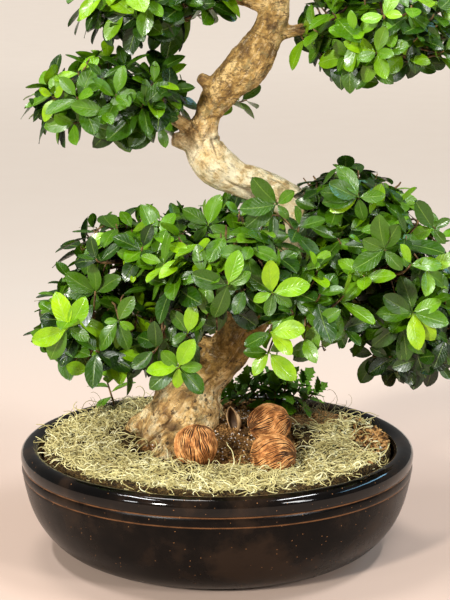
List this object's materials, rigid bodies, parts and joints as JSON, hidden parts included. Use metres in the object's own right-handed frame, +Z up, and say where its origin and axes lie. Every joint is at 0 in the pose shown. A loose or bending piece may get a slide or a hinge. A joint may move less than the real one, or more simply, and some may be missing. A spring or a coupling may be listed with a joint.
{
  "type": "bonsai tree in a pot",
  "caption": "Small-leaved fig bonsai with a swollen root base and an S-curved trunk, in a low round glazed bowl dressed with moss and seed balls.",
  "frame": {"origin": "centre of the bowl's flat underside, on the surface that it stands on", "axes": "+Z up along the trunk's rise, -Y towards the viewer of the picture, +X to the viewer's right"},
  "size_m": [0.4689, 0.4, 0.7405],
  "materials": {
    "glaze": "near-black gloss glaze with fine brown speckles",
    "earth": "matt brown potting soil with white grains",
    "moss": "dry, matt, pale yellow-green strands",
    "bark": "matt tan bark with dark cracks and specks",
    "leaf": "glossy waxy leaf with a pale midrib",
    "herb_leaf": "satin dark green leaf",
    "seed": "matt orange-brown fibres with dark grooves",
    "husk": "dry, matt brown husk"
  },
  "bodies": {
    "root": {"bowl": "glaze", "soil": "earth", "moss": "moss", "trunk": "bark", "seed_1": "seed", "seed_2": "seed", "seed_3": "seed", "husk": "husk", "ground_plant": "herb_leaf", "shoot": "leaf", "sprig": "leaf", "spray_lower_left_1": "leaf", "spray_lower_left_2": "leaf", "spray_lower_left_3": "leaf", "spray_mid_left_1": "leaf", "spray_mid_left_2": "leaf", "spray_front_1": "leaf", "spray_front_2": "leaf", "spray_front_3": "leaf", "spray_front_right_1": "leaf", "spray_front_right_2": "leaf", "spray_right_1": "leaf", "spray_right_2": "leaf", "spray_right_3": "leaf", "spray_lower_right_1": "leaf", "spray_lower_right_2": "leaf", "spray_shoulder_1": "leaf", "spray_shoulder_2": "leaf", "spray_back_1": "leaf", "spray_back_2": "leaf", "spray_back_3": "leaf", "spray_back_left_1": "leaf", "spray_back_left_2": "leaf", "spray_high_left_1": "leaf", "spray_high_left_2": "leaf", "spray_high_left_3": "leaf", "spray_top_left_1": "leaf", "spray_top_left_2": "leaf", "spray_top_left_3": "leaf", "spray_high_right_1": "leaf", "spray_high_right_2": "leaf", "spray_high_right_3": "leaf", "spray_crown_1": "leaf", "spray_crown_2": "leaf", "spray_crown_3": "leaf", "spray_crown_4": "leaf"}
  },
  "joints": []
}
